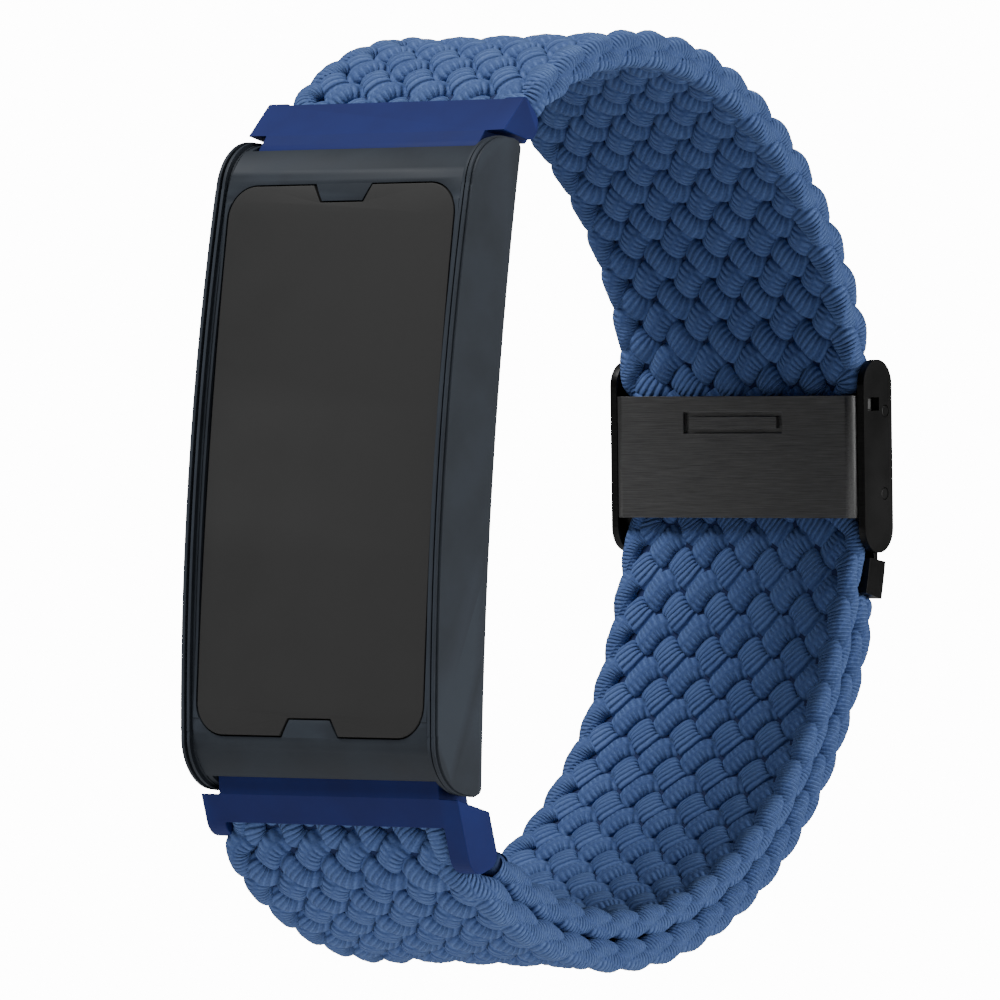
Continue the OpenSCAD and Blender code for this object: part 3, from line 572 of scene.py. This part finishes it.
def make_band(name, path, stations, half_w, half_t, material, corners=6):
    """A band with rounded edges swept along the path. half_w and half_t go by station."""
    s = np.asarray(stations, float)
    pos, tan = path.points(s)
    nrm = np.stack([-tan[:, 1], tan[:, 0]], 1)
    verts, faces = [], []
    section = []
    for k, (sx, sn) in enumerate(((1, -1), (1, 1), (-1, 1), (-1, -1))):
        for c in range(corners):
            a = math.pi / 2 * (c / (corners - 1) + k - 1)
            section.append((sx, sn, math.cos(a), math.sin(a)))
    count = len(section)
    for k in range(len(s)):
        r = min(half_t[k], half_w[k]) * 0.9
        for sx, sn, ca, sa in section:
            x = sx * (half_w[k] - r) + r * ca
            n = sn * (half_t[k] - r) + r * sa
            p = pos[k] + nrm[k] * n
            verts.append((x * MM, p[0] * MM, p[1] * MM))
    for k in range(len(s) - 1):
        for c in range(count):
            a, b = count * k + c, count * k + (c + 1) % count
            faces.append((a, b, b + count, a + count))
    faces += [tuple(reversed(range(count))), tuple(count * (len(s) - 1) + c for c in range(count))]
    mesh = bpy.data.meshes.new(name)
    mesh.from_pydata(verts, [], faces)
    mesh.polygons.foreach_set("use_smooth", [len(p.vertices) == 4 for p in mesh.polygons])
    mesh.materials.append(material)
    obj = bpy.data.objects.new(name, mesh)
    bpy.context.collection.objects.link(obj)
    return obj


def make_core(name, path, start, end, width, thick):
    """A thin dark sheet between the cords, painted shade that closes the braid's small gaps."""
    s = np.linspace(start, end, 90)
    return make_band(name, path, s, width(s) - 1.6, thick(s) * 0.1, core_painted_shade)


# Painted shade: the sheet seen through the braid's gaps is a dark blue
core_painted_shade = satin("core_painted_shade", rgb(24, 40, 84), rgb(30, 48, 96), 0.0, 0.9, 3000, 0.3)
mid_buckle = (into_buckle + out_of_buckle) / 2
# The ends of each strap reach into the connectors and as far as the tail's fused tip
UPPER_FROM, TAIL_TO = -2.0, upper.length + 1.9
LOWER_FROM, LOWER_TO = 0.4, into_connector + 3.0
pieces = [
    (make_braid("upper_strap_braid", upper, UPPER_FROM, mid_buckle, upper_width, upper_thick),
     "upper_band", "upper_strap"),
    (make_braid("tail_braid", upper, mid_buckle, TAIL_TO, upper_width, upper_thick),
     "upper_band", "upper_strap"),
    (make_braid("lower_strap_braid", lower, LOWER_FROM, LOWER_TO, lower_width, lower_thick,
                lower_shift),
     "lower_band", "lower_strap"),
    (make_core("upper_strap_core", upper, UPPER_FROM, upper.length, upper_width, upper_thick),
     "upper_band", "upper_strap"),
    (make_core("lower_strap_core", lower, LOWER_FROM, LOWER_TO, lower_width, lower_thick),
     "lower_band", "lower_strap"),
]
# The tail's heat-set end, drawn in to a rounded lip
tip_at = upper.length + np.array([1.3, 1.6, 1.9, 2.15, 2.3])
tip_shape = np.array([1.0, 1.0, 0.97, 0.85, 0.6])
TIP_HALF_W, TIP_HALF_T = 10.5, 0.9
pieces.append((make_band("tail_tip_fused", upper, tip_at, TIP_HALF_W - (1 - tip_shape),
                         TIP_HALF_T * tip_shape, MATERIALS["tip"]), "upper_band", "tail_tip"))
for obj, body, node in pieces:
    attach(obj, body)
    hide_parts(node)

# ---------------------------------------------------------------- stage, light and camera

mesh = bpy.data.meshes.new("floor")
FLOOR_Z, REACH = -0.085, 6.0
corners = [(sx * REACH, sy * REACH, FLOOR_Z) for sx, sy in ((-1, -1), (1, -1), (1, 1), (-1, 1))]
mesh.from_pydata(corners, [], [(0, 1, 2, 3)])
floor = bpy.data.objects.new("floor", mesh)
bpy.context.collection.objects.link(floor)
pale = Nodes("floor_pale")
pale.set(Base_Color=(0.55, 0.55, 0.55, 1), Roughness=0.8)
floor.data.materials.append(pale.mat)

WORLD_LIGHT, BACKDROP = 0.03, 14
world = bpy.data.worlds.new("studio")
bpy.context.scene.world = world
world.use_nodes = True
world.node_tree.nodes["Background"].inputs[0].default_value = (1, 1, 1, 1)
# The backdrop shows white, while its light on the object stays soft
seen = world.node_tree.nodes.new("ShaderNodeLightPath")
level = world.node_tree.nodes.new("ShaderNodeMapRange")
level.inputs["To Min"].default_value = WORLD_LIGHT
level.inputs["To Max"].default_value = BACKDROP
world.node_tree.links.new(seen.outputs["Is Camera Ray"], level.inputs["Value"])
world.node_tree.links.new(level.outputs[0], world.node_tree.nodes["Background"].inputs[1])


def area(name, place, aim, size, power):
    light = bpy.data.lights.new(name, "AREA")
    light.shape = "RECTANGLE"
    light.size, light.size_y = size
    light.energy = power
    obj = bpy.data.objects.new(name, light)
    bpy.context.collection.objects.link(obj)
    obj.location = place
    obj.rotation_euler = (Vector(aim) - Vector(place)).to_track_quat("-Z", "Y").to_euler()
    return obj


area("key", (-0.15, -0.38, 0.52), (0, 0, 0), (0.3, 0.3), 5.0)
# Lies flat, just over the floor
area("low", (0, -0.055, -0.08), (0, -0.055, 0), (0.16, 0.1), 0.024)
area("side", (0.65, 0.18, 0.15), (0, 0, 0), (0.4, 0.5), 4.2)

# Camera: its angles in radians, its offsets across and up the view, and its distance
# from the middle of the display, in millimetres
AZ, EL, ROLL = math.radians(36), -0.081289, 0.06145
SHIFT_X, SHIFT_Z, DISTANCE = 12.7256, -2.7175, 637.395
DISPLAY_MIDDLE = Vector((0, -28, -0.2))
away = Vector((math.sin(AZ) * math.cos(EL), -math.cos(AZ) * math.cos(EL), math.sin(EL)))
across = Vector((math.cos(AZ), math.sin(AZ), 0))
up = across.cross(-away)
right = math.cos(ROLL) * across + math.sin(ROLL) * up
up = math.cos(ROLL) * up - math.sin(ROLL) * across
camera = bpy.data.objects.new("camera", bpy.data.cameras.new("camera"))
bpy.context.collection.objects.link(camera)
camera.data.lens, camera.data.sensor_width = 324, 36
camera.data.clip_start, camera.data.clip_end = 0.01, 50
place = (right * SHIFT_X + up * SHIFT_Z + away * DISTANCE + DISPLAY_MIDDLE) * MM
camera.matrix_world = Matrix((
    (right.x, up.x, away.x, place.x), (right.y, up.y, away.y, place.y),
    (right.z, up.z, away.z, place.z), (0, 0, 0, 1)))
bpy.context.scene.camera = camera
